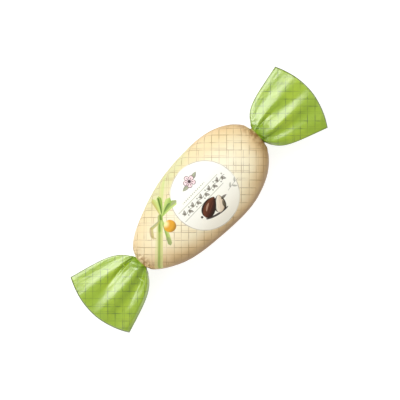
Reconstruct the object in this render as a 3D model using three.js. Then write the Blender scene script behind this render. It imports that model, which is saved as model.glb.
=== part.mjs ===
// A large marzipan egg shut in a printed twist wrapper, lying on its flattest side.
//
// X runs along the egg, from its narrow end (-X) to its blunt end (+X). Y is across and Z up.
// The film hugs the egg, is twisted shut at both ends, and opens past each twist into a flat
// fan of two layers. Film and egg are one closed solid: only the mouths of the fans are open.
// The skin is a chain of rings, laid from inside the narrow fan, over the egg, and back into
// the blunt fan. The origin is the middle of the underside of the box round the pack.

import * as THREE from 'three';

// ---- Driving dimensions: millimetres, with angles in degrees ----

const EGG = {
  widestAt: 11.3, // station of the widest girth along the pack
  halfWidth: 23.4,
  girthHeight: 15, // the girth, both twists and the fans lie at this height
  crown: 19, // from the girth up to the top
  keel: 15.8, // from the girth down, before the flat spot cuts it off
  topPower: 2.15, // 2 is a round section, more is a squarer one
  bottomPower: 2.4,
};

// The two ends of the pack. `way` is the direction along X in which the end points. A fan's
// creases run from its neck to its mouth, crest and valley in turn. Their places are shares of
// the way across, from -1 at one side edge to 1 at the other.
const NARROW_END = {
  way: -1,
  reach: 58.3, // from the widest girth to where the egg's curve would close
  roundness: 2, // 2 is an ellipse, more is a blunter end
  twistAt: -45.9,
  twistAside: -0.5, // the twist's place across the pack
  twistRadius: 4,
  fanLength: 38.2, // from the twist to the mouth, along the film
  fanFlare: 8.8, // the side edges first swing out by this much
  flareWithin: 4.9,
  fanSlope: 0.285, // and then run apart at this slope
  fanTurn: 0.5, // the fan swings this far round, seen from above
  fanRoll: 3, // and rolls this far about its own middle line
  creases: [
    { atNeck: -1, atMouth: -1, height: 1.2 },
    { atNeck: -0.9, atMouth: -0.9, height: 2.1 },
    { atNeck: -0.62, atMouth: -0.5, height: 0 },
    { atNeck: -0.3, atMouth: -0.2, height: 1.6 },
    { atNeck: 0.52, atMouth: 0.18, height: -0.2 },
    { atNeck: 0.78, atMouth: 0.48, height: 0.8 },
    { atNeck: 0.96, atMouth: 0.8, height: 0.2 },
    { atNeck: 1, atMouth: 1, height: 0.6 },
  ],
};
const BLUNT_END = {
  way: 1,
  reach: 36.8,
  roundness: 2.3,
  twistAt: 47.2,
  twistAside: 2,
  twistRadius: 4.6,
  fanLength: 37.6,
  fanFlare: 8.4,
  flareWithin: 4,
  fanSlope: 0.28,
  fanTurn: -5.4,
  fanRoll: 0,
  creases: [
    { atNeck: -1, atMouth: -1, height: 0.6 },
    { atNeck: -0.9, atMouth: -0.78, height: 1.6 },
    { atNeck: -0.76, atMouth: -0.42, height: 0 },
    { atNeck: -0.64, atMouth: -0.18, height: 1.9 },
    { atNeck: 0.3, atMouth: 0.14, height: 0 },
    { atNeck: 0.5, atMouth: 0.4, height: 0.9 },
    { atNeck: 0.86, atMouth: 0.72, height: 0.2 },
    { atNeck: 1, atMouth: 1, height: 0.7 },
  ],
};

// The egg sits a little askew in its film: its middle line sways to these sides.
const SWAYS = [
  { at: -26, by: -0.6, spread: 12 },
  { at: 16, by: -0.5, spread: 14 },
];
const SWAY_FADE = 14; // the swaying dies away over this distance from each twist

const TWIST = {
  turn: 100, // how far the folds wind round, each end its own way
  startsOnEgg: 3.5, // they start to wind this far before the twist
  endsOnFan: 6.5, // and stop this far past it
  gathers: 7, // folds round the twist
  foldDepth: 0.4,
  fadeOnEgg: 8, // the folds run out over this distance
  fadeOnFan: 7,
  pinch: 1.2, // the last stretch of the egg, where the film is drawn in
};

const FAN = {
  layerGap: 1.5, // half the thickness of the two layers at the mouth
  gapFade: 6,
  wall: 0.5, // film with its gathers, as one wall
  dome: 1.8, // the side edges hang this far below the middle
  droop: 2.5, // and the mouth hangs this far below the twist
  creasePeak: 13, // the creases are highest at this distance from the twist
  creaseFade: 9, // over which they swing from their places at the neck to those at the mouth
  hollowFrom: 9, // the hollow between the layers starts here
};

const COLUMNS = 64; // points round each ring
const EGG_RINGS = 18; // rings on each end of the egg
const FAN_RINGS = 15;
const HOLLOW_RINGS = 7;

const FILM = { color: 0xf3e6c6, roughness: 0.35, metalness: 0 };

// ---- Small formulas ----

const { degToRad, lerp, smoothstep } = THREE.MathUtils;
const bell = (distance, spread) => Math.exp(-((distance / spread) ** 2));
const fade = (distance, reach) => Math.exp(-distance / reach);
const power = (value, exponent) => Math.sign(value) * Math.abs(value) ** exponent;

// ---- The egg under its film ----

const nearEnd = (x) => (x < EGG.widestAt ? NARROW_END : BLUNT_END);

// Share of the full girth that the egg has at station x.
function girthShare(x) {
  const end = nearEnd(x);
  const along = Math.min(Math.abs(x - EGG.widestAt) / end.reach, 1);
  return Math.sqrt(1 - along ** end.roundness);
}

// The middle line of egg and film, across the pack.
function middleLine(x) {
  const twistShare = (x - NARROW_END.twistAt) / (BLUNT_END.twistAt - NARROW_END.twistAt);
  const straight = lerp(NARROW_END.twistAside, BLUNT_END.twistAside, twistShare);
  const sway = SWAYS.reduce((sum, s) => sum + s.by * bell(x - s.at, s.spread), 0);
  return straight + sway * smoothstep(Math.abs(x - nearEnd(x).twistAt), 0, SWAY_FADE);
}

// How far the film has wound round the pack's line at a distance past the twist.
const filmTurn = (end, pastTwist) =>
  end.way * degToRad(TWIST.turn) * smoothstep(pastTwist, -TWIST.startsOnEgg, TWIST.endsOnFan);

// How far the folds of the twist stand out, for a column of the film.
function fold(column, pastTwist) {
  const reach = pastTwist < 0 ? TWIST.fadeOnEgg : TWIST.fadeOnFan;
  const wave = Math.cos((TWIST.gathers * 2 * Math.PI * column) / COLUMNS);
  return TWIST.foldDepth * wave * bell(pastTwist, reach);
}

function eggRing(x) {
  const end = nearEnd(x);
  const pastTwist = (x - end.twistAt) * end.way;
  const drawnIn = smoothstep(pastTwist, -TWIST.pinch, 0);
  const share = girthShare(x);
  const half = lerp(EGG.halfWidth * share, end.twistRadius, drawnIn);
  const crown = lerp(EGG.crown * share, end.twistRadius, drawnIn);
  const keel = lerp(EGG.keel * share, end.twistRadius, drawnIn);
  return Array.from({ length: COLUMNS }, (_, column) => {
    const angle = (2 * Math.PI * column) / COLUMNS + filmTurn(end, pastTwist);
    const [across, up] = [Math.cos(angle), Math.sin(angle)];
    const squareness = 2 / (up > 0 ? EGG.topPower : EGG.bottomPower);
    const relief = fold(column, pastTwist);
    const y = power(across, squareness) * half + across * relief;
    const z = power(up, squareness) * (up > 0 ? crown : keel) + up * relief;
    return new THREE.Vector3(x, middleLine(x) + y, Math.max(EGG.girthHeight + z, 0));
  });
}

// ---- The fans ----

const fanHalfWidth = (end, out) =>
  end.twistRadius + end.fanFlare * (1 - fade(out, end.flareWithin)) + end.fanSlope * out;

// The place on a fan's side edge that lies `length` of film away from the twist.
function sideEdge(end, length) {
  const step = 0.02;
  let out = 0;
  for (let run = 0; run < length; out += step) {
    run += Math.hypot(step, fanHalfWidth(end, out + step) - fanHalfWidth(end, out));
  }
  return { out, half: fanHalfWidth(end, out) };
}

// Height of the fan's sheet at a share across it, from -1 at one side edge to 1 at the other.
function sheetHeight(end, length, across) {
  const placeOf = (crease) =>
    lerp(crease.atMouth, crease.atNeck, fade(length, FAN.creaseFade));
  const facets = end.creases.slice(1).reduce((sum, crease, index) => {
    const last = end.creases[index];
    const share = smoothstep(across, placeOf(last), placeOf(crease));
    return sum + (crease.height - last.height) * share;
  }, 0);
  const rise = (length / FAN.creasePeak) * Math.exp(1 - length / FAN.creasePeak);
  const outward = length / end.fanLength;
  return rise * facets - outward * FAN.dome * across ** 2 - FAN.droop * outward ** 2;
}

// One ring of a fan. `inset` is zero on the outside and a wall's thickness in the hollow.
function fanRing(end, length, inset) {
  const edge = sideEdge(end, length);
  const halfWidth = edge.half - 1.5 * inset;
  const closed = end.twistRadius - FAN.layerGap;
  const halfGap = FAN.layerGap + closed * fade(length, FAN.gapFade) - inset;
  const turn = degToRad(end.fanTurn);
  const roll = degToRad(end.fanRoll) * (length / end.fanLength);
  return Array.from({ length: COLUMNS }, (_, column) => {
    const angle = (2 * Math.PI * column) / COLUMNS + filmTurn(end, length);
    const [across, up] = [Math.cos(angle), Math.sin(angle)];
    const relief = fold(column, length);
    const out = edge.out + (length - edge.out) * (1 - across ** 2);
    const side = across * (halfWidth + relief);
    const height = up * (halfGap + relief) + sheetHeight(end, length, across);
    const point = new THREE.Vector3(end.way * out, side, height);
    point.applyAxisAngle(new THREE.Vector3(1, 0, 0), roll);
    point.applyAxisAngle(new THREE.Vector3(0, 0, 1), turn);
    return point.add(new THREE.Vector3(end.twistAt, end.twistAside, EGG.girthHeight));
  });
}

// ---- The chain of rings, and the skin over it ----

const shares = (count) => Array.from({ length: count }, (_, i) => (i + 1) / count);

// From the twist out to the mouth, closer together near the twist.
const fanOutside = (end) =>
  shares(FAN_RINGS).map((share) => fanRing(end, end.fanLength * share ** 1.35, 0));

// From the mouth back into the hollow.
const fanInside = (end) =>
  [0, ...shares(HOLLOW_RINGS)].map((share) =>
    fanRing(end, lerp(end.fanLength, FAN.hollowFrom, share), FAN.wall));

// From the widest girth to the twist, closer together near the twist.
const eggHalf = (end) =>
  shares(EGG_RINGS).map((share) =>
    eggRing(lerp(EGG.widestAt, end.twistAt, Math.sin((share * Math.PI) / 2))));

const fromMouth = (end) => [...fanOutside(end), ...fanInside(end)];

const rings = [
  ...fromMouth(NARROW_END).reverse(),
  ...eggHalf(NARROW_END).reverse(),
  eggRing(EGG.widestAt),
  ...eggHalf(BLUNT_END),
  ...fromMouth(BLUNT_END),
];

// The middle of a ring: a hollow ends in this point.
const middleOf = (ring) =>
  ring.reduce((sum, point) => sum.add(point), new THREE.Vector3()).divideScalar(ring.length);

function skin(chain) {
  const last = chain.length * COLUMNS;
  const points = [...chain.flat(), middleOf(chain[0]), middleOf(chain.at(-1))];
  const triangles = [];
  for (let column = 0; column < COLUMNS; column += 1) {
    const next = (column + 1) % COLUMNS;
    triangles.push(last, next, column);
    for (let start = 0; start < last - COLUMNS; start += COLUMNS) {
      const [a, b] = [start + column, start + next];
      const [c, d] = [b + COLUMNS, a + COLUMNS];
      triangles.push(a, b, d, b, c, d);
    }
    triangles.push(last + 1, last - COLUMNS + column, last - COLUMNS + next);
  }
  const geometry = new THREE.BufferGeometry().setFromPoints(points);
  geometry.setIndex(triangles);
  geometry.computeVertexNormals();
  return geometry;
}

// ---- The pack ----

function wrappedEgg() {
  const geometry = skin(rings);
  geometry.computeBoundingBox();
  const middle = geometry.boundingBox.getCenter(new THREE.Vector3());
  geometry.translate(-middle.x, -middle.y, 0);
  const mesh = new THREE.Mesh(geometry, new THREE.MeshStandardMaterial(FILM));
  mesh.name = 'wrapped_egg';
  return mesh;
}

const pack = new THREE.Group();
pack.add(wrappedEgg());

export default pack;
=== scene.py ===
"""A large marzipan egg shut in a printed twist wrapper, lying on a pale table."""
import math

import bpy
import numpy as np
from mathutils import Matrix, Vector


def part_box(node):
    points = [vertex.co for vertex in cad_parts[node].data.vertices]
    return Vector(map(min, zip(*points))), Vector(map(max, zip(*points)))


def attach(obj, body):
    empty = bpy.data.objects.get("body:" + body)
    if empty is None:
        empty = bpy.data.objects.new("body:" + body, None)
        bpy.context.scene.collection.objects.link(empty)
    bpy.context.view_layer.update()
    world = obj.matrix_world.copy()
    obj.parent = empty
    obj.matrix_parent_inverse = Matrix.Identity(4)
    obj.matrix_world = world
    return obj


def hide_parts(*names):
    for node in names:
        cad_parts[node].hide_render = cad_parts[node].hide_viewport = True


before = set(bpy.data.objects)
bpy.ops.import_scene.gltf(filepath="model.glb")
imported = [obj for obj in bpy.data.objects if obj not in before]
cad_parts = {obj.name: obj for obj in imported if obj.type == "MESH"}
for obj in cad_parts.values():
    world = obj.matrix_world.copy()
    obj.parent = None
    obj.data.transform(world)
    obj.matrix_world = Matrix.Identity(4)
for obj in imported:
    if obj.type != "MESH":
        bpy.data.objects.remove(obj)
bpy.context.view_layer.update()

# ---- The sheet of film and its shape ---------------------------------------------------------
# One sheet of glossy film goes round the marzipan egg, is twisted shut at both ends, and opens
# past each twist into a flat fan of two layers. Egg and film show as one skin, so one mesh
# stands for both. Its rows run from inside the narrow fan, over the egg, to inside the blunt one.
EGG_WIDEST_AT = 0.0113
EGG_HALF_WIDTH = 0.0234
EGG_CROWN, EGG_KEEL = 0.019, 0.0158  # above and below the girth
EGG_POWERS = (2.15, 2.4)  # squareness of the section, above and below the girth
GIRTH_HEIGHT = 0.015
SWAYS = ((-0.026, -0.0006, 0.012), (0.016, -0.0005, 0.014))  # station, aside, spread
SWAY_FADE = 0.014
PINCH = 0.0012  # over this last stretch of the egg the film is drawn in to the twist

NARROW_END = {
    "way": -1, "reach": 0.0583, "roundness": 2,
    "twist_at": -0.0459, "twist_aside": -0.0005, "twist_radius": 0.004,
    "length": 0.0382, "flare": 0.0088, "flare_within": 0.0049, "slope": 0.285,
    "turn": math.radians(0.5), "roll": math.radians(3),
    # Crests and valleys: place across at the neck and at the mouth, and height.
    "creases": (
        (-1.0, -1.0, 0.0012), (-0.9, -0.9, 0.0025), (-0.62, -0.5, 0.0), (-0.3, -0.2, 0.0017),
        (0.52, 0.18, -0.0002), (0.78, 0.48, 0.0008), (0.96, 0.8, 0.0002), (1.0, 1.0, 0.0006),
    ),
    # Sharp grooves beside them: place at the neck and at the mouth, and depth.
    "grooves": ((0.92, 0.22, 0.0021), (-0.66, -0.62, 0.0004)),
}
BLUNT_END = {
    "way": 1, "reach": 0.0368, "roundness": 2.3,
    "twist_at": 0.0472, "twist_aside": 0.002, "twist_radius": 0.0046,
    "length": 0.0376, "flare": 0.0084, "flare_within": 0.004, "slope": 0.28,
    "turn": math.radians(-5.4), "roll": math.radians(0),
    "creases": (
        (-1.0, -1.0, 0.0006), (-0.9, -0.78, 0.0016), (-0.76, -0.42, 0.0), (-0.64, -0.18, 0.0019),
        (0.3, 0.14, 0.0), (0.5, 0.4, 0.0009), (0.86, 0.72, 0.0002), (1.0, 1.0, 0.0007),
    ),
    "grooves": ((-0.7, -0.24, 0.0011), (0.4, 0.26, 0.001)),
}

LAYER_GAP, GAP_FADE = 0.0015, 0.006
FILM_WALL = 0.00016
FAN_DOME, FAN_DROOP = 0.0018, 0.0025  # across the mouth, and outwards
CREASE_PEAK = 0.013  # the creases are highest at this distance from the twist
CREASE_FADE = 0.009  # over which they swing from their places at the neck to those at the mouth
GROOVE_PEAK = 0.0055  # the grooves are deepest at this distance from the twist
GROOVE_SPREAD = 0.075  # half their width, as a share of the fan's half width
HOLLOW_FROM = 0.009

COLUMNS = 240
EGG_ROWS, FAN_ROWS, HOLLOW_ROWS = 70, 56, 20
EGG_CROWDING = 0.46  # how closely the egg's rows crowd towards the twists, under 0.5

# Columns start and end under the egg, so the sheet's lap is at the bottom.
angle = np.linspace(-0.5 * math.pi, 1.5 * math.pi, COLUMNS + 1)
across, up = np.cos(angle), np.sin(angle)


def ease(value, start, stop):
    share = np.clip((value - start) / (stop - start), 0, 1)
    return share * share * (3 - 2 * share)


def bell(distance, spread):
    return np.exp(-((distance / spread) ** 2))


def signed_power(value, exponent):
    return np.sign(value) * np.abs(value) ** exponent


def middle_line(x, end):
    twists = [e["twist_at"] for e in (NARROW_END, BLUNT_END)]
    straight = np.interp(x, twists, [e["twist_aside"] for e in (NARROW_END, BLUNT_END)])
    sway = sum(by * bell(x - at, spread) for at, by, spread in SWAYS)
    return straight + sway * ease(np.abs(x - end["twist_at"]), 0, SWAY_FADE)


def egg_half(end):
    """Rows from the egg's widest girth to a twist, with their places past that twist."""
    run = np.sin(np.linspace(0, EGG_CROWDING * math.pi, EGG_ROWS + 1))
    x = EGG_WIDEST_AT + (end["twist_at"] - EGG_WIDEST_AT) * run / run[-1]
    past = (x - end["twist_at"]) * end["way"]
    share = np.sqrt(1 - np.abs((x - EGG_WIDEST_AT) / end["reach"]) ** end["roundness"])
    drawn_in = ease(past, -PINCH, 0)
    half, crown, keel = (
        (size * share * (1 - drawn_in) + end["twist_radius"] * drawn_in)[:, None]
        for size in (EGG_HALF_WIDTH, EGG_CROWN, EGG_KEEL)
    )
    squareness = np.where(up > 0, 2 / EGG_POWERS[0], 2 / EGG_POWERS[1])
    y = middle_line(x, end)[:, None] + signed_power(across, squareness) * half
    z = GIRTH_HEIGHT + signed_power(up, squareness) * np.where(up > 0, crown, keel)
    rows = np.stack(np.broadcast_arrays(x[:, None], y, np.maximum(z, 0)), -1)
    return rows, past


def fan(end, lengths, inset):
    """Rows of a fan at these lengths of film past its twist, inset by the wall in the hollow."""
    out = np.linspace(0, end["length"], 2000)
    flare = end["flare"] * (1 - np.exp(-out / end["flare_within"]))
    edge = end["twist_radius"] + flare + end["slope"] * out
    run = np.concatenate(([0], np.cumsum(np.hypot(np.diff(out), np.diff(edge)))))
    edge_out = np.interp(lengths, run, out)[:, None]
    half = np.interp(lengths, run, edge)[:, None] - 1.5 * inset
    length = lengths[:, None]
    outward = length / end["length"]
    gap = LAYER_GAP + (end["twist_radius"] - LAYER_GAP) * np.exp(-length / GAP_FADE) - inset
    rise = length / CREASE_PEAK * np.exp(1 - length / CREASE_PEAK)
    nearness = np.exp(-length / CREASE_FADE)
    creases = [(far + (near - far) * nearness, height) for near, far, height in end["creases"]]
    facets = sum(
        (height - last_height) * ease(across, last_at, at)
        for (last_at, last_height), (at, height) in zip(creases, creases[1:])
    )
    grooves = sum(
        depth * bell(across - far - (near - far) * nearness, GROOVE_SPREAD)
        for near, far, depth in end["grooves"]
    )
    grooves = grooves * length / GROOVE_PEAK * np.exp(1 - length / GROOVE_PEAK)
    sheet = rise * facets - grooves - outward * FAN_DOME * across**2 - FAN_DROOP * outward**2
    x = end["way"] * (edge_out + (length - edge_out) * (1 - across**2))
    y, z = across * half, up * gap + sheet
    roll = end["roll"] * outward
    y, z = y * np.cos(roll) - z * np.sin(roll), y * np.sin(roll) + z * np.cos(roll)
    c, s = math.cos(end["turn"]), math.sin(end["turn"])
    x, y = x * c - y * s, x * s + y * c
    place = (end["twist_at"], end["twist_aside"], GIRTH_HEIGHT)
    return np.stack(np.broadcast_arrays(x, y, z), -1) + place


def end_rows(end):
    """Everything from the widest girth to the bottom of the hollow in one fan."""
    egg, past_egg = egg_half(end)
    outside = end["length"] * np.linspace(0, 1, FAN_ROWS + 1)[1:] ** 1.35
    inside = np.linspace(end["length"], HOLLOW_FROM, HOLLOW_ROWS + 1)
    rows = np.concatenate((egg, fan(end, outside, 0), fan(end, inside, FILM_WALL)))
    past = np.concatenate((past_egg, outside, inside))
    return rows, past


narrow_rows, narrow_past = end_rows(NARROW_END)
blunt_rows, blunt_past = end_rows(BLUNT_END)
rows = np.concatenate((narrow_rows[:0:-1], blunt_rows))
past_twist = np.concatenate((narrow_past[:0:-1], blunt_past))
row_count = len(rows)
hollow = HOLLOW_ROWS + 1  # rows of each hollow, at both ends of the chain
outer = slice(hollow, row_count - hollow)

# The skin is set where the solid lies, by the middle of its box.
node_low, node_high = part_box("wrapped_egg")
skin_middle = (rows.reshape(-1, 3).min(0) + rows.reshape(-1, 3).max(0)) / 2
node_middle = (node_low + node_high) / 2
to_solid = (node_middle.x - skin_middle[0], node_middle.y - skin_middle[1])
rows[..., :2] += to_solid

# The film's own coordinates, in millimetres: along the pack, and round it from the top line,
# from the place where the print is centred. Where the film faces up they follow the plan, and
# down its steep sides they follow the film.
STEEP_FROM, STEEP_AT = 0.8, 0.99
print_middle = np.array((0.00065, -0.001)) + to_solid


def film_run(level, rise):
    """Length of film for a step: its level part, and all of it where the film is steep."""
    whole = np.hypot(level, rise)
    steep = ease(rise / np.maximum(whole, 1e-9), STEEP_FROM, STEEP_AT)
    return level * (1 - steep) + whole * steep


round_steps = film_run(np.abs(np.diff(rows[..., 1])), np.abs(np.diff(rows[..., 2])))
round_run = np.concatenate((np.zeros((row_count, 1)), np.cumsum(round_steps, 1)), 1)
top = COLUMNS // 2
round_film = round_run[:, [top]] - round_run + rows[:, [top], 1]
onto_fan = ease(past_twist, -0.002, 0.006)[:, None]
round_film = round_film * (1 - onto_fan) + rows[..., 1] * onto_fan
film_place = (np.stack((rows[..., 0], round_film), -1) - print_middle) * 1000

# A second layout without overlaps, for the film's finish on a square: the upper and the lower
# half of the outside above each other, and the two hollows side by side over them.
outer_mean = rows[outer, :-1].mean(1)
pack_run = np.cumsum(np.linalg.norm(np.diff(outer_mean, axis=0), axis=1))
pack_run = np.concatenate((np.zeros(hollow + 1), pack_run / pack_run[-1], np.ones(hollow)))
BAKE_GUTTER = 0.006
BAKE_BANDS = ((0.0, 0.4), (0.4, 0.8), (0.8, 1.0))  # upper half, lower half, hollows


def in_band(share, band):
    low, high = band
    return low + BAKE_GUTTER + share * (high - low - 2 * BAKE_GUTTER)


def bake_corner(row, column, in_row, in_column):
    """Place on the square of a face's corner, for a face that starts at this row and column."""
    r, c = row + in_row, column + in_column
    side = (column - COLUMNS // 4) % COLUMNS
    upper = side < COLUMNS // 2
    round_half = (side % (COLUMNS // 2) + in_column) / (COLUMNS // 2)
    lay = np.where(upper, in_band(round_half, BAKE_BANDS[0]), in_band(round_half, BAKE_BANDS[1]))
    run = in_band(pack_run[r], (0, 1))
    first, last = row < hollow, row >= row_count - hollow - 1
    depth = np.where(first, r / hollow, (row_count - 1 - r) / hollow)
    run = np.where(first | last, in_band(depth, (0, 0.5)) + 0.5 * last, run)
    lay = np.where(first | last, in_band(c / COLUMNS, BAKE_BANDS[2]), lay)
    return np.stack((run, lay), -1)


def skin_mesh(name):
    """The closed skin, with both layouts and the attributes that its folds are worked out from."""
    points = rows[:, :-1].reshape(-1, 3)
    row, column = np.mgrid[0 : row_count - 1, 0:COLUMNS]
    row, column = row.ravel(), column.ravel()
    corners = ((0, 0), (0, 1), (1, 1), (1, 0))
    quads = np.stack([(row + r) * COLUMNS + (column + c) % COLUMNS for r, c in corners], 1)
    film_uv = np.stack([film_place[row + r, column + c] for r, c in corners], 1)
    bake_uv = np.stack([bake_corner(row, column, r, c) for r, c in corners], 1)
    faces, tips = quads.tolist(), []
    for end_row, order in ((0, (2, 1, 0)), (row_count - 1, (0, 1, 2))):
        tip = len(points) + len(tips)
        tips.append(rows[end_row, :-1].mean(0))
        for c in range(COLUMNS):
            ring = (end_row * COLUMNS + c, end_row * COLUMNS + (c + 1) % COLUMNS, tip)
            faces.append([ring[i] for i in order])
    mesh = bpy.data.meshes.new(name)
    mesh.from_pydata(np.concatenate((points, tips)).tolist(), [], faces)
    for label, uv in (("OFBake", bake_uv), ("film", film_uv)):
        flat = np.zeros((len(mesh.loops), 2))
        flat[: uv.size // 2] = uv.reshape(-1, 2)
        flat[uv.size // 2 :] = uv[-1, 0]
        mesh.uv_layers.new(name=label).data.foreach_set("uv", flat.ravel())
    grown = ease(past_twist, 0.002, 0.012)[:, None]
    lift = np.stack(
        (0 * grown * up, across * (1 - grown), signed_power(up, 1 - 0.5 * grown)), -1
    )
    place = np.stack((rows[..., 0], rows[..., 1], np.where(grown > 0.5, 0.05 * up, rows[..., 2])), -1)
    fields = (
        ("past_twist", "FLOAT", "value", past_twist[:, None] + 0 * angle),
        ("angle", "FLOAT", "value", angle + 0 * past_twist[:, None]),
        ("lift", "FLOAT_VECTOR", "vector", lift),
        ("sheet_place", "FLOAT_VECTOR", "vector", place),
    )
    for label, kind, key, values in fields:
        width = 3 if kind == "FLOAT_VECTOR" else 1
        flat = np.zeros((len(mesh.vertices), width))
        flat[: len(points)] = values[:, :-1].reshape(-1, width)
        mesh.attributes.new(label, kind, "POINT").data.foreach_set(key, flat.ravel())
    return mesh


# The folds of the twists: they wind round the neck and run out over the egg and the fan, and
# a fine crinkle lies over all of the film. The tree moves the skin's points along "lift".
folds = bpy.data.node_groups.new("twist folds", "GeometryNodeTree")
fold_sizes = (
    ("Gathers", "NodeSocketInt", 7),
    ("Fold Depth", "NodeSocketFloat", 0.0003),
    ("Winding", "NodeSocketFloat", math.radians(100)),
    ("Reach on Egg", "NodeSocketFloat", 0.009),
    ("Reach on Fan", "NodeSocketFloat", 0.0045),
    ("Crinkle Size", "NodeSocketFloat", 0.009),
    ("Crinkle Depth", "NodeSocketFloat", 0.00022),
    ("Creases", "NodeSocketFloat", 2.2),
    ("Crease Depth", "NodeSocketFloat", 0.0004),
    ("Seed", "NodeSocketFloat", 4.0),
)
folds.interface.new_socket("Skin", in_out="INPUT", socket_type="NodeSocketGeometry")
fold_inputs = {
    name: folds.interface.new_socket(name, in_out="INPUT", socket_type=kind)
    for name, kind, _ in (*fold_sizes, ("Film", "NodeSocketMaterial", None))
}
folds.interface.new_socket("Folded", in_out="OUTPUT", socket_type="NodeSocketGeometry")


def put(tree, kind, *values, **settings):
    """Adds a node: each value is linked to the next socket, or set on it. Returns the node."""
    made = tree.nodes.new(kind)
    for name, setting in settings.items():
        setattr(made, name, setting)
    for socket, value in zip([s for s in made.inputs if s.enabled], values):
        if isinstance(value, bpy.types.NodeSocket):
            tree.links.new(value, socket)
        elif value is not None:
            socket.default_value = value
    return made


def math_node(tree, operation, *values, **settings):
    return put(tree, "ShaderNodeMath", *values, operation=operation, **settings).outputs[0]


def field(name, kind):
    made = folds.nodes.new("GeometryNodeInputNamedAttribute")
    made.data_type = kind
    made.inputs["Name"].default_value = name
    return made.outputs["Attribute"]


def fold_math(operation, *values):
    return math_node(folds, operation, *values)


group_in = folds.nodes.new("NodeGroupInput").outputs
past = field("past_twist", "FLOAT")
position = put(folds, "GeometryNodeInputPosition").outputs[0]
place_x, _, place_z = put(folds, "ShaderNodeSeparateXYZ", position).outputs
wound = put(
    folds, "ShaderNodeMapRange", past, -0.0035, 0.0065, 0.0, 1.0, interpolation_type="SMOOTHSTEP"
).outputs[0]
wound = fold_math("MULTIPLY", fold_math("SIGN", place_x), wound)
turned = fold_math(
    "SUBTRACT", field("angle", "FLOAT"), fold_math("MULTIPLY", wound, group_in["Winding"])
)
wave = None
for extra, share, phase in ((0, 1.0, 0.4), (4, 0.6, 2.1), (11, 0.25, 4.0)):
    ripple = fold_math("ADD", group_in["Gathers"], float(extra))
    ripple = fold_math("MULTIPLY_ADD", ripple, turned, phase)
    ripple = fold_math("MULTIPLY", fold_math("COSINE", ripple), share)
    wave = ripple if wave is None else fold_math("ADD", wave, ripple)
reach = put(
    folds, "GeometryNodeSwitch", fold_math("LESS_THAN", past, 0.0),
    group_in["Reach on Fan"], group_in["Reach on Egg"], input_type="FLOAT",
).outputs[0]
closeness = fold_math("POWER", fold_math("DIVIDE", past, reach), 2.0)
closeness = fold_math("EXPONENT", fold_math("MULTIPLY", closeness, -1.0))
fold = fold_math("MULTIPLY", fold_math("MULTIPLY", wave, closeness), group_in["Fold Depth"])
noise = put(
    folds, "ShaderNodeTexNoise", field("sheet_place", "FLOAT_VECTOR"), group_in["Seed"],
    fold_math("DIVIDE", 1.0, group_in["Crinkle Size"]), 3.0, 0.55, noise_dimensions="4D",
).outputs[0]
clear = put(folds, "ShaderNodeMapRange", place_z, 0.0, 0.003, 0.0, 2.0).outputs[0]
crinkle = fold_math("MULTIPLY", fold_math("SUBTRACT", noise, 0.5), clear)
crinkle = fold_math("MULTIPLY", crinkle, group_in["Crinkle Depth"])
move = put(
    folds, "ShaderNodeVectorMath", field("lift", "FLOAT_VECTOR"), operation="SCALE"
)
folds.links.new(fold_math("ADD", fold, crinkle), move.inputs["Scale"])
crease_place = put(
    folds, "ShaderNodeCombineXYZ",
    fold_math("MULTIPLY", fold_math("COSINE", field("angle", "FLOAT")), group_in["Creases"]),
    fold_math("MULTIPLY", past, 28.0), fold_math("MULTIPLY", fold_math("SIGN", place_x), 9.0),
).outputs[0]
crease = put(
    folds, "ShaderNodeTexNoise", crease_place, group_in["Seed"], 1.0, 2.0, 0.45,
    noise_dimensions="4D",
).outputs[0]
grown = put(folds, "ShaderNodeMapRange", past, 0.001, 0.012, 0.0, 2.0).outputs[0]
crease = fold_math("MULTIPLY", fold_math("SUBTRACT", crease, 0.5), grown)
crease = fold_math("MULTIPLY", crease, group_in["Crease Depth"])
sunk = put(folds, "ShaderNodeCombineXYZ", 0.0, 0.0, crease).outputs[0]
shift = put(folds, "ShaderNodeVectorMath", move.outputs[0], sunk, operation="ADD").outputs[0]
moved = put(folds, "GeometryNodeSetPosition", group_in["Skin"], True, None, shift)
smooth = put(folds, "GeometryNodeSetShadeSmooth", moved.outputs[0], True, True)
real = put(folds, "GeometryNodeRealizeInstances", smooth.outputs[0])
finished = put(folds, "GeometryNodeSetMaterial", real.outputs[0], True, group_in["Film"])
put(folds, "NodeGroupOutput", finished.outputs[0])


# ---- The print on the film -------------------------------------------------------------------
# Cream film with a darker tan edge, partly airbrushed print and partly painted shade, and a fine
# grid, which lies level and upright when the pack is held askew, as it is sold. Past the twists it
# is printed leaf green with the same grid.
# Places are in millimetres: on the "sheet" along and round the pack, on the "page" with the
# grid level.
film = bpy.data.materials.new("printed_film")
film.use_nodes = True
ink_tree = film.node_tree
ink_tree.nodes.clear()
PAGE_TURN = math.radians(46.04)


def ink(red, green, blue):
    """A printed colour, from its 0 to 255 values as seen on a screen."""
    return (*(((c / 255 + 0.055) / 1.055) ** 2.4 for c in (red, green, blue)), 1.0)


def calc(operation, *values, **settings):
    return math_node(ink_tree, operation, *values, **settings)


def times(*covers):
    """Covers multiplied together."""
    product = covers[0]
    for cover in covers[1:]:
        product = calc("MULTIPLY", product, cover)
    return product


def lay(under, over, cover):
    """Prints one colour over another where it covers."""
    return put(ink_tree, "ShaderNodeMix", cover, under, over, data_type="RGBA").outputs[2]


def ramp(value, start, stop, low=0.0, high=1.0):
    return put(
        ink_tree, "ShaderNodeMapRange", value, start, stop, low, high,
        interpolation_type="SMOOTHSTEP",
    ).outputs[0]


def split(vector):
    return put(ink_tree, "ShaderNodeSeparateXYZ", vector).outputs[:2]


def joined(x, y):
    return put(ink_tree, "ShaderNodeCombineXYZ", x, y, 0.0).outputs[0]


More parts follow.
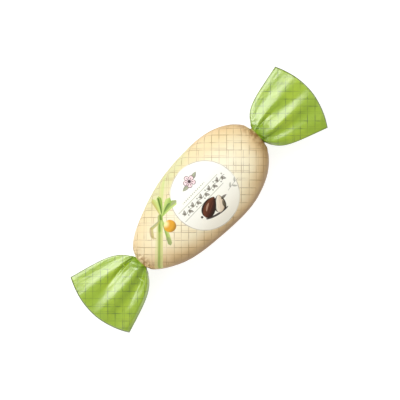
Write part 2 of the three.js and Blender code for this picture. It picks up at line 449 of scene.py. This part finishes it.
sheet = put(ink_tree, "ShaderNodeUVMap", uv_map="film").outputs[0]
page = put(
    ink_tree, "ShaderNodeMapping", sheet, (0, 0, 0), (0, 0, PAGE_TURN), (1, 1, 1),
    vector_type="POINT",
).outputs[0]
page_x, page_y = split(page)
along, around = split(sheet)
past_twist_metres = put(ink_tree, "ShaderNodeAttribute", attribute_name="past_twist").outputs["Fac"]
past_mm = calc("MULTIPLY", past_twist_metres, 1000.0)


def blotches(size, detail=2.0):
    """Soft blotches over the sheet, from 0 to 1."""
    return put(
        ink_tree, "ShaderNodeTexNoise", sheet, 1 / size, detail, 0.5, noise_dimensions="2D"
    ).outputs[0]


# The fine grid. Its lines stray a little, and each stretch of a line is printed more or less
# strongly. Here and there a fainter second line runs close beside one for a few cells.
GRID_PITCH = 4.0
GRID_PHASE = (1.3, 3.1)
GRID_HALF_LINE = 0.15
SECOND_LINE = (0.26, 0.55)  # where it runs in the cell, and how strong it is
SECOND_CELLS = 3.0  # how many cells long its stretches are


def chance(*numbers):
    """A fixed random value from 0 to 1 for whole numbers."""
    return put(
        ink_tree, "ShaderNodeTexWhiteNoise", put(ink_tree, "ShaderNodeCombineXYZ", *numbers).outputs[0]
    ).outputs[0]


def grid_lines(across_line, along_line, phase, family):
    """Cover of the grid lines that are crossed in one direction, and the cell's number."""
    scaled = calc("DIVIDE", calc("SUBTRACT", across_line, phase[0]), GRID_PITCH)
    stretch = calc("FLOOR", calc("DIVIDE", calc("SUBTRACT", along_line, phase[1]), GRID_PITCH))
    line = calc("ROUND", scaled)
    stray = calc("MULTIPLY_ADD", chance(line, 0.5, family), 0.1, -0.05)
    off = calc("ABSOLUTE", calc("SUBTRACT", calc("SUBTRACT", scaled, line), stray))
    first = ramp(calc("MULTIPLY", off, GRID_PITCH), GRID_HALF_LINE + 0.12, GRID_HALF_LINE - 0.12)
    first = times(first, ramp(chance(line, stretch, family), 0.0, 0.55, 0.4, 1.0))
    place, strength = SECOND_LINE
    beside = calc("ABSOLUTE", calc("SUBTRACT", calc("FRACT", scaled), place))
    second = ramp(calc("MULTIPLY", beside, GRID_PITCH), GRID_HALF_LINE + 0.1, GRID_HALF_LINE - 0.1)
    long_stretch = calc("FLOOR", calc("DIVIDE", stretch, SECOND_CELLS))
    seen = ramp(chance(line, long_stretch, family + 2), 0.7, 0.8, 0.0, strength)
    return calc("MAXIMUM", first, times(second, seen)), calc("FLOOR", scaled)


upright, cell_x = grid_lines(page_x, page_y, GRID_PHASE, 1.0)
level, cell_y = grid_lines(page_y, page_x, GRID_PHASE[::-1], 2.0)
grid = times(calc("MAXIMUM", upright, level), ramp(blotches(7.0), 0.36, 0.58, 0.4, 1.0))

# The cream field: warm in patches, and warmer and darker towards the edge of the egg, partly an
# airbrushed print and partly painted shade, deepest on the -Y side away from the key light, and
# paler again underneath. Along the +Y side amber is painted as shade that dims the side where the
# key light falls strongest. Its edge measure is 0 on top of the egg and about 1 where the egg
# turns under.
CREAM = ink(251, 246, 220)
PEACH = ink(245, 229, 188)
AMBER_SIDE_SHADE = ink(226, 204, 152)
TAN = ink(222, 186, 128)
BROWN = ink(148, 112, 56)
TIP_BROWN = ink(150, 96, 40)
GREEN_TINT = ink(214, 216, 160)
GRID_INK = ink(146, 110, 58)

# The middle sits towards +Y in the round, so the painted shade at the edge is deepest on the -Y side.
FIELD_MIDDLE = (11.3, 5.0)  # along and round
TO_NARROW, TO_BLUNT, TO_SIDES = 66.0, 35.5, 25.3  # from there to where the measure is 1
toward_narrow = calc("DIVIDE", calc("SUBTRACT", FIELD_MIDDLE[0], along), TO_NARROW)
toward_blunt = calc("DIVIDE", calc("SUBTRACT", along, FIELD_MIDDLE[0]), TO_BLUNT)
share_along = calc("MAXIMUM", toward_narrow, toward_blunt)
share_round = calc("DIVIDE", calc("SUBTRACT", around, FIELD_MIDDLE[1]), TO_SIDES)
edge = calc("SQRT", calc("MULTIPLY_ADD", share_along, share_along, times(share_round, share_round)))
edge = calc("ADD", edge, calc("MULTIPLY_ADD", blotches(12.0), 0.14, -0.07))
warmth = calc("MULTIPLY_ADD", chance(cell_x, cell_y, 7.0), 0.3, ramp(edge, 0.3, 0.85, 0.0, 0.8))
colour = lay(CREAM, PEACH, calc("MULTIPLY", warmth, 1.0, use_clamp=True))
# Amber painted shade along the +Y side, where the key light falls strongest.
colour = lay(colour, AMBER_SIDE_SHADE, ramp(around, 3.0, 17.0, 0.0, 0.55))
# Tan edge and brown rim: partly airbrushed print, partly painted shade.
colour = lay(colour, TAN, ramp(edge, 0.68, 0.98, 0.0, 0.9))
rim_print_and_shade = times(ramp(edge, 0.86, 1.1, 0.0, 0.95), ramp(edge, 1.7, 1.25, 0.3, 1.0))
colour = lay(colour, BROWN, rim_print_and_shade)
tint = times(ramp(page_x, -4.0, -13.0), ramp(page_y, -12.0, 4.0))
tint = times(tint, ramp(edge, 0.4, 0.7), ramp(edge, 1.5, 0.9))
colour = lay(colour, GREEN_TINT, calc("MULTIPLY", tint, 0.75))
near_tip = times(ramp(past_mm, -6.0, -0.5), ramp(blotches(2.2, 3.0), 0.42, 0.62))
colour = lay(colour, TIP_BROWN, calc("MULTIPLY", near_tip, 0.75))
colour = lay(colour, GRID_INK, calc("MULTIPLY", grid, 0.75))

# Leaf shapes make up all of the pictures: a ribbon's loop, an almond or a stalk is a leaf that
# runs from one place to another, with its own width, tapers and bend.
leaf_tree = bpy.data.node_groups.new("printed leaf", "ShaderNodeTree")
for name in (
    "X", "Y", "Start X", "Start Y", "Run", "Rise", "Length", "Half Width", "Root", "Tip", "Bend",
):
    leaf_tree.interface.new_socket(name, in_out="INPUT", socket_type="NodeSocketFloat")
for name in ("Cover", "Along", "Across"):
    leaf_tree.interface.new_socket(name, in_out="OUTPUT", socket_type="NodeSocketFloat")
leaf_in = leaf_tree.nodes.new("NodeGroupInput").outputs
LEAF_SOFT = 0.13  # half the width of a printed edge


def leaf_math(operation, *values, **settings):
    return math_node(leaf_tree, operation, *values, **settings)


from_x = leaf_math("SUBTRACT", leaf_in["X"], leaf_in["Start X"])
from_y = leaf_math("SUBTRACT", leaf_in["Y"], leaf_in["Start Y"])
leaf_x = leaf_math("MULTIPLY", from_x, leaf_in["Run"])
leaf_x = leaf_math("MULTIPLY_ADD", from_y, leaf_in["Rise"], leaf_x)
leaf_y = leaf_math("MULTIPLY", from_x, leaf_in["Rise"])
leaf_y = leaf_math("SUBTRACT", leaf_math("MULTIPLY", from_y, leaf_in["Run"]), leaf_y)
held = leaf_math("MINIMUM", leaf_math("MAXIMUM", leaf_x, 0.001), 0.999)
rest = leaf_math("SUBTRACT", 1.0, held)
bow = leaf_math("MULTIPLY", leaf_math("MULTIPLY", held, rest), leaf_in["Bend"])
aside = leaf_math("SUBTRACT", leaf_y, bow)
taper = leaf_math("MULTIPLY", leaf_math("POWER", held, leaf_in["Root"]),
                  leaf_math("POWER", rest, leaf_in["Tip"]))
half = leaf_math("MULTIPLY", leaf_in["Half Width"], taper)
beyond = leaf_math("ABSOLUTE", leaf_math("SUBTRACT", leaf_x, held))
outside = leaf_math("ADD", leaf_math("SUBTRACT", leaf_math("ABSOLUTE", aside), half), beyond)
outside = leaf_math("MULTIPLY", outside, leaf_in["Length"])
leaf_cover = put(
    leaf_tree, "ShaderNodeMapRange", outside, LEAF_SOFT, -LEAF_SOFT, 0.0, 1.0,
    interpolation_type="SMOOTHSTEP",
).outputs[0]
put(leaf_tree, "NodeGroupOutput", leaf_cover, held, leaf_math("DIVIDE", aside, half))


def leaf(place, start, end, half_width, root=0.5, tip=0.5, bend=0.0):
    """A leaf's cover, the share along it, and the share across it (1 on its left edge)."""
    run, rise = end[0] - start[0], end[1] - start[1]
    length = math.hypot(run, rise)
    widest = root / max(root + tip, 1e-6)
    fullest = max(widest, 1e-6) ** root * max(1 - widest, 1e-6) ** tip
    return put(
        ink_tree, "ShaderNodeGroup", *place, *start, run / length**2, rise / length**2, length,
        half_width / length / fullest, root, tip, 4 * bend, node_tree=leaf_tree,
    ).outputs


def paint(under, place, shape, left, right, strength=1.0, outline=None):
    """A leaf that goes from one colour on its left edge to another on its right one."""
    cover, _, across_leaf = leaf(place, *shape)
    filled = lay(right, left, ramp(across_leaf, -0.9, 0.9))
    if outline:
        filled = lay(filled, outline, ramp(calc("ABSOLUTE", across_leaf), 0.55, 0.85))
    return lay(under, filled, calc("MULTIPLY", cover, strength))


# The label: a round cream-white field in a thin ring.
LABEL_MIDDLE, LABEL_RADIUS = (1.8, 2.9), 18.8
LABEL_WHITE, LABEL_WARM = ink(250, 249, 238), ink(254, 248, 230)
RING_INK = ink(176, 160, 132)
from_label = put(
    ink_tree, "ShaderNodeVectorMath", page, (*LABEL_MIDDLE, 0), operation="DISTANCE"
).outputs["Value"]
label = ramp(from_label, LABEL_RADIUS + 0.12, LABEL_RADIUS - 0.12)
label_colour = lay(LABEL_WHITE, LABEL_WARM, ramp(around, 2.0, -18.0))
colour = lay(colour, label_colour, label)
ring = calc("ABSOLUTE", calc("SUBTRACT", from_label, LABEL_RADIUS - 0.25))
ring = times(ramp(ring, 0.28, 0.08), ramp(blotches(9.0), 0.35, 0.6, 0.3, 0.85))
colour = lay(colour, RING_INK, ring)

# Two fine rules along the label with a running vine between them, and a row of beads.
VINE_INK = ink(92, 84, 62)
RULE_INK = ink(146, 142, 116)
BEAD_INK = ink(160, 158, 136)
for rule_at, rule_from, rule_to in ((3.9, -13.5, 16.0), (-1.7, -14.0, 15.0)):
    rule = (rule_from, rule_at), (rule_to, rule_at), 0.13, 0.02, 0.02
    colour = lay(colour, RULE_INK, calc("MULTIPLY", leaf((along, around), *rule)[0], 0.85))

VINE_START, VINE_STEP, VINE_LEAVES, VINE_MIDDLE = -12.4, 3.1, 10, 1.1
run = calc("DIVIDE", calc("SUBTRACT", along, VINE_START), VINE_STEP)
flip = calc("MULTIPLY_ADD", calc("FRACT", calc("DIVIDE", calc("FLOOR", run), 2.0)), -4.0, 1.0)
vine_x = calc("MULTIPLY_ADD", calc("FRACT", run), VINE_STEP, -VINE_STEP / 2)
vine_y = times(calc("SUBTRACT", around, VINE_MIDDLE), flip)
on_vine = times(ramp(run, -0.02, 0.02), ramp(run, VINE_LEAVES + 0.02, VINE_LEAVES - 0.02))
for vine_leaf in (
    ((-VINE_STEP / 2, 0), (VINE_STEP / 2, 0), 0.17, 0.02, 0.02, -0.1),
    ((-0.7, -0.1), (0.85, 2.15), 0.66, 0.5, 0.8),
    ((-0.2, -0.2), (-1.4, 1.6), 0.45, 0.5, 0.8),
    ((0.35, -1.45), (1.15, -1.45), 0.4),
):
    cover, _, across_leaf = leaf((vine_x, vine_y), *vine_leaf)
    hollow_leaf = ramp(calc("ABSOLUTE", across_leaf), 0.2, 0.7, 0.6, 1.0)
    colour = lay(colour, VINE_INK, times(cover, hollow_leaf, on_vine, 0.95))

bead_run = calc("DIVIDE", along, 1.25)
bead_x = calc("MULTIPLY_ADD", calc("FRACT", bead_run), 1.25, -0.625)
bead = put(
    ink_tree, "ShaderNodeVectorMath", joined(bead_x, calc("SUBTRACT", around, 5.9)),
    operation="LENGTH",
).outputs["Value"]
bead = times(ramp(bead, 0.5, 0.26), ramp(calc("ABSOLUTE", along), 8.2, 8.0))
colour = lay(colour, BEAD_INK, calc("MULTIPLY", bead, 0.75))

# An almond blossom with two leaves at the head of the label.
BLOSSOM_AT = (2.9, 11.9)
PETAL_PINK, PETAL_LINE, HEART_INK = ink(250, 220, 222), ink(96, 66, 74), ink(60, 34, 40)
SEPAL_LEFT, SEPAL_RIGHT = ink(150, 160, 112), ink(104, 112, 78)
blossom = put(
    ink_tree, "ShaderNodeMapping", sheet, (*BLOSSOM_AT, 0), (0, 0, 0.3), (1, 1, 1),
    vector_type="TEXTURE",
).outputs[0]
blossom_x, blossom_y = split(blossom)
for tip in (-1, 1):
    shape = (2.0 * tip, -0.6), (6.3 * tip, -0.7 * tip), 1.15, 0.5, 0.9
    colour = paint(colour, (blossom_x, blossom_y), shape, SEPAL_LEFT, SEPAL_RIGHT, 0.85, PETAL_LINE)
from_heart = put(
    ink_tree, "ShaderNodeVectorMath", blossom, operation="LENGTH"
).outputs["Value"]
bearing = calc("ARCTAN2", blossom_y, blossom_x)
lobes = calc("ABSOLUTE", calc("COSINE", calc("MULTIPLY", bearing, 2.5)))
lobes = calc("MULTIPLY_ADD", calc("POWER", lobes, 0.45), 1.75, 1.55)
past_petal = calc("SUBTRACT", from_heart, lobes)
colour = lay(colour, PETAL_PINK, ramp(past_petal, 0.15, -0.15))
colour = lay(colour, PETAL_LINE, ramp(calc("ABSOLUTE", past_petal), 0.36, 0.1, 0.0, 0.85))
filaments = calc("ABSOLUTE", calc("COSINE", calc("MULTIPLY", bearing, 5.5)))
filaments = times(ramp(filaments, 0.6, 0.85), ramp(from_heart, 2.4, 2.1))
colour = lay(colour, HEART_INK, calc("MULTIPLY", filaments, 0.8))
colour = lay(colour, HEART_INK, ramp(from_heart, 1.0, 0.7))

# Two almonds on a twig at its foot: one in its dark skin, one blanched.
SKIN_LIT, SKIN_DARK, SKIN_GLEAM = ink(112, 58, 32), ink(48, 18, 6), ink(190, 150, 124)
BLANCHED_LIT, BLANCHED_DARK = ink(248, 238, 218), ink(222, 200, 170)
TWIG_INK = ink(44, 28, 16)
for shape, left, right, strength, outline in (
    (((2.7, -9.6), (14.2, -2.7), 0.55, 0.15, 0.3, -0.07), TWIG_INK, TWIG_INK, 0.95, None),
    (((9.9, -5.9), (8.9, 3.2), 3.3, 0.45, 0.7, -0.05), BLANCHED_LIT, BLANCHED_DARK, 1.0, TWIG_INK),
    (((10.0, -4.4), (9.3, 1.0), 0.16, 0.5, 0.5, -0.05), BLANCHED_DARK, BLANCHED_DARK, 0.9, None),
    (((9.2, -4.2), (8.7, 0.6), 0.14, 0.5, 0.5, 0.04), BLANCHED_DARK, BLANCHED_DARK, 0.7, None),
    (((2.5, -8.8), (6.6, 2.2), 3.7, 0.45, 0.7, 0.03), SKIN_LIT, SKIN_DARK, 1.0, TWIG_INK),
    (((2.7, -5.6), (3.9, -1.0), 0.5, 0.6, 0.6, 0.06), SKIN_GLEAM, SKIN_GLEAM, 0.75, None),
    (((4.2, -6.9), (6.3, -0.6), 0.14, 0.5, 0.5, 0.03), SKIN_LIT, SKIN_LIT, 0.8, None),
    (((13.1, -3.3), (11.2, 0.7), 0.75, 0.5, 0.9, 0.06), TWIG_INK, VINE_INK, 0.85, None),
    (((10.6, 1.0), (13.4, 3.6), 0.7, 0.5, 0.9, 0.05), VINE_INK, TWIG_INK, 0.85, None),
    (((-0.3, -8.7), (1.0, -8.7), 0.62), TWIG_INK, TWIG_INK, 0.95, None),
    (((14.2, 5.6), (19.6, 12.4), 0.13, 0.1, 0.3, 0.03), VINE_INK, VINE_INK, 0.6, None),
    (((15.3, 7.2), (15.3, 10.2), 0.5, 0.5, 0.9, 0.05), RULE_INK, VINE_INK, 0.6, None),
    (((16.3, 8.4), (19.4, 8.3), 0.5, 0.5, 0.9, -0.05), RULE_INK, VINE_INK, 0.6, None),
    (((17.6, 10.2), (17.4, 13.0), 0.45, 0.5, 0.9, 0.05), RULE_INK, VINE_INK, 0.6, None),
):
    colour = paint(colour, (page_x, page_y), shape, left, right, strength, outline)

# A ribbon tied round the egg in a bow, and a small golden egg in the bow.
RIBBON_PALE, RIBBON_OLIVE = ink(214, 214, 138), ink(168, 178, 96)
BOW_PALE, BOW_LEAF, BOW_DARK = ink(196, 214, 120), ink(140, 172, 60), ink(78, 110, 20)
BOW_OLIVE, BOW_TIP, BOW_TAN = ink(190, 180, 90), ink(150, 158, 110), ink(176, 148, 104)
GOLD_PALE, GOLD_DEEP, GOLD_RIM = ink(252, 238, 168), ink(230, 166, 44), ink(158, 116, 36)
for shape, left, right, strength, outline in (
    (((-21.8, -8.0), (-20.4, 14.0), 1.1, 0.02, 0.02, 0.02), RIBBON_PALE, BOW_PALE, 0.6, None),
    (((-22.0, -8.0), (-22.1, -36.0), 1.45, 0.02, 0.02, 0.0), RIBBON_PALE, RIBBON_OLIVE, 0.95, None),
    (((-22.2, -9.0), (-22.7, -36.0), 0.45, 0.02, 0.02, 0.0), BOW_LEAF, BOW_LEAF, 0.55, None),
    (((-23.4, -13.0), (-24.3, -36.0), 0.85, 0.1, 0.02, 0.0), RIBBON_PALE, RIBBON_PALE, 0.5, None),
    (((-21.9, -10.0), (-26.9, -15.0), 0.8, 0.4, 0.1, 0.04), BOW_OLIVE, BOW_TIP, 0.8, None),
    (((-26.9, -14.3), (-26.2, -19.6), 1.0, 0.15, 0.1, -0.03), BOW_OLIVE, BOW_TAN, 0.75, None),
    (((-26.6, -19.0), (-24.2, -20.3), 0.5, 0.1, 0.2, -0.1), BOW_TAN, BOW_OLIVE, 0.6, None),
    (((-21.0, -10.4), (-16.7, -22.9), 1.15, 0.35, 0.05, 0.02), BOW_PALE, BOW_LEAF, 0.95, None),
    (((-17.8, -19.4), (-16.6, -23.0), 1.05, 0.25, 0.05, 0.0), BOW_TIP, BOW_TIP, 0.6, None),
    (((-21.6, -9.0), (-26.0, 0.2), 1.3, 0.85, 0.08, -0.04), BOW_OLIVE, BOW_PALE, 0.95, None),
    (((-21.3, -9.0), (-23.0, 1.6), 1.35, 0.7, 0.08, -0.03), BOW_PALE, BOW_LEAF, 1.0, None),
    (((-21.2, -7.4), (-23.4, 1.5), 0.5, 0.5, 0.12, -0.02), BOW_DARK, BOW_DARK, 0.9, None),
    (((-21.4, -9.0), (-17.4, 0.5), 1.7, 0.9, 0.05, 0.02), BOW_PALE, BOW_LEAF, 1.0, None),
    (((-21.2, -9.0), (-14.3, -0.5), 1.55, 0.9, 0.07, 0.03), BOW_LEAF, BOW_PALE, 1.0, None),
    (((-17.2, -3.3), (-13.7, 0.0), 0.85, 0.6, 0.12, 0.02), BOW_TIP, BOW_TIP, 0.75, None),
    (((-20.2, -6.3), (-16.7, -1.4), 1.0, 0.9, 0.3, 0.0), BOW_DARK, BOW_LEAF, 0.9, None),
    (((-21.9, -7.2), (-21.2, -11.2), 0.8, 0.4, 0.4, 0.0), BOW_LEAF, BOW_DARK, 1.0, None),
    (((-21.6, -10.2), (-22.1, -17.4), 1.15, 0.4, 0.3, 0.0), BOW_PALE, BOW_LEAF, 0.85, None),
    (((-22.6, -12.2), (-22.2, -16.8), 0.5, 0.5, 0.5, 0.0), BOW_DARK, BOW_LEAF, 0.75, None),
):
    colour = paint(colour, (page_x, page_y), shape, left, right, strength, outline)
gold, _, _ = leaf((page_x, page_y), (-20.1, -13.0), (-13.5, -13.8), 3.3)
from_gleam = put(
    ink_tree, "ShaderNodeVectorMath", page, (-19.3, -12.3, 0.0), operation="DISTANCE"
).outputs["Value"]
gold_colour = lay(GOLD_PALE, GOLD_DEEP, ramp(from_gleam, 0.5, 2.8))
gold_colour = lay(gold_colour, GOLD_RIM, ramp(from_gleam, 3.8, 6.0, 0.0, 0.85))
colour = lay(colour, gold_colour, gold)

# Past the twists: leaf green, deepest at the twist, with a darker grid, darker along the cut, which
# is the cut edge's own tone with a painted shadow, and painted shade where it folds round at the
# sides.
LEAF_GREEN, LEAF_PALE, LEAF_DEEP = ink(150, 182, 0), ink(176, 202, 24), ink(128, 164, 0)
LEAF_GRID, CUT_EDGE_AND_FOLD_SHADE = ink(56, 86, 0), ink(84, 96, 48)
green = lay(LEAF_DEEP, LEAF_GREEN, ramp(past_mm, 0.0, 8.0))
pale_patches = times(ramp(blotches(11.0), 0.42, 0.72), ramp(past_mm, 4.0, 16.0, 0.0, 0.5))
green = lay(green, LEAF_PALE, pale_patches)
green = lay(green, LEAF_GRID, times(grid, ramp(blotches(4.0, 3.0), 0.4, 0.6, 0.55, 1.0)))
fan_lengths = [end["length"] * 1000 for end in (NARROW_END, BLUNT_END)]
fan_length = calc("MULTIPLY_ADD", calc("SIGN", along), np.ptp(fan_lengths) / -2, np.mean(fan_lengths))
to_mouth = calc("SUBTRACT", fan_length, past_mm)
# The cut edge's own darker tone, with a painted shadow along it.
green = lay(green, CUT_EDGE_AND_FOLD_SHADE, ramp(to_mouth, 0.75, 0.15, 0.0, 0.9))
round_angle = put(ink_tree, "ShaderNodeAttribute", attribute_name="angle").outputs["Fac"]
# Painted shade where the film folds round at the sides.
side_fold_shade = ramp(calc("ABSOLUTE", calc("COSINE", round_angle)), 0.962, 0.99, 0.0, 0.6)
green = lay(green, CUT_EDGE_AND_FOLD_SHADE, side_fold_shade)
colour = lay(colour, green, ramp(past_mm, -0.5, 0.5))

# The film itself: satin over the egg, glossier on the loose fans, with a fine grain.
satin = ramp(past_mm, -1.0, 5.0, 0.5, 0.33)
roughness = calc("MULTIPLY_ADD", calc("SUBTRACT", blotches(1.6, 3.0), 0.5), 0.16, satin)
grain = put(ink_tree, "ShaderNodeTexNoise", sheet, 0.9, 4.0, 0.6, noise_dimensions="2D").outputs[0]
bump = put(ink_tree, "ShaderNodeBump", 0.12, 0.0006, None, grain).outputs[0]
shader = put(ink_tree, "ShaderNodeBsdfPrincipled")
shader.inputs["IOR"].default_value = 1.5
shader.inputs["Specular IOR Level"].default_value = 0.25
shader.inputs["Coat IOR"].default_value = 1.9
shader.inputs["Coat Roughness"].default_value = 0.32
ink_tree.links.new(ramp(past_mm, 0.0, 4.0, 0.1, 1.0), shader.inputs["Coat Weight"])
ink_tree.links.new(colour, shader.inputs["Base Color"])
ink_tree.links.new(roughness, shader.inputs["Roughness"])
ink_tree.links.new(bump, shader.inputs["Normal"])
put(ink_tree, "ShaderNodeOutputMaterial", shader.outputs[0])


# ---- The wrapper, made and hung on the frame -------------------------------------------------
# The skin with its folds worked in, as one plain mesh in place of the solid egg.
base = bpy.data.objects.new("wrapper_base", skin_mesh("wrapper_base"))
bpy.context.scene.collection.objects.link(base)
modifier = base.modifiers.new("twist folds", "NODES")
modifier.node_group = folds
for name, _, value in fold_sizes:
    modifier[fold_inputs[name].identifier] = value
modifier[fold_inputs["Film"].identifier] = film
bpy.context.view_layer.update()
evaluated = base.evaluated_get(bpy.context.evaluated_depsgraph_get())
wrapper = bpy.data.objects.new("wrapper", bpy.data.meshes.new_from_object(evaluated))
bpy.data.objects.remove(base)
bpy.context.scene.collection.objects.link(wrapper)
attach(wrapper, "root")
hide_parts("wrapped_egg")


# ---- The table -------------------------------------------------------------------------------
# A plain sheet of white acrylic, lit a little from below as for pack shots, so that shadows on
# it stay faint. It is wide enough to fill the view.
TABLE_HALF = 1.5
table_mesh = bpy.data.meshes.new("table")
corners = [(x * TABLE_HALF, y * TABLE_HALF, 0) for x, y in ((-1, -1), (1, -1), (1, 1), (-1, 1))]
table_mesh.from_pydata(corners, [], [(0, 1, 2, 3)])
table = bpy.data.objects.new("table", table_mesh)
bpy.context.scene.collection.objects.link(table)
white = bpy.data.materials.new("white_table")
white.use_nodes = True
for name, value in (
    ("Base Color", (0.4, 0.4, 0.4, 1)), ("Roughness", 0.7), ("Specular IOR Level", 0.2),
    ("Emission Color", (1, 1, 1, 1)), ("Emission Strength", 0.8),
):
    white.node_tree.nodes["Principled BSDF"].inputs[name].default_value = value
table_mesh.materials.append(white)


# ---- Light and camera ------------------------------------------------------------------------
# A large soft light high above the upper left of the picture, a weaker one past each end of
# the pack, and a bright room. The camera looks straight down through a long lens, with the pack askew.
def soft_box(name, place, size, power):
    """A rectangular soft light that faces the middle of the table."""
    data = bpy.data.lights.new(name, "AREA")
    data.shape, data.energy = "RECTANGLE", power
    data.size, data.size_y = size
    lamp = bpy.data.objects.new(name, data)
    lamp.location = place
    lamp.rotation_euler = (-lamp.location).to_track_quat("-Z", "Y").to_euler()
    bpy.context.scene.collection.objects.link(lamp)


soft_box("key", (0.0, 0.73, 0.92), (1.2, 0.55), 10.4)
for side in (-1, 1):
    soft_box("fill", (1.05 * side, -0.3, 0.95), (1.2, 0.6), 4.0)
world = bpy.data.worlds.new("room")
world.use_nodes = True
world.node_tree.nodes["Background"].inputs["Color"].default_value = (1, 1, 1, 1)
world.node_tree.nodes["Background"].inputs["Strength"].default_value = 0.36
bpy.context.scene.world = world
bpy.context.scene.view_settings.view_transform = "Standard"

CAMERA_HEIGHT = 1.3
PICTURE_WIDTH = 400 * 0.00054  # what the picture spans at the height of the girth
VIEW_MIDDLE = print_middle + (-0.0002, 0.0009)
lens = bpy.data.cameras.new("camera")
lens.sensor_width = 36.0
lens.lens = 36.0 * (CAMERA_HEIGHT - GIRTH_HEIGHT) / PICTURE_WIDTH
camera = bpy.data.objects.new("camera", lens)
camera.location = (*VIEW_MIDDLE, CAMERA_HEIGHT)
camera.rotation_euler = (0, 0, -PAGE_TURN)
bpy.context.scene.collection.objects.link(camera)
bpy.context.scene.camera = camera
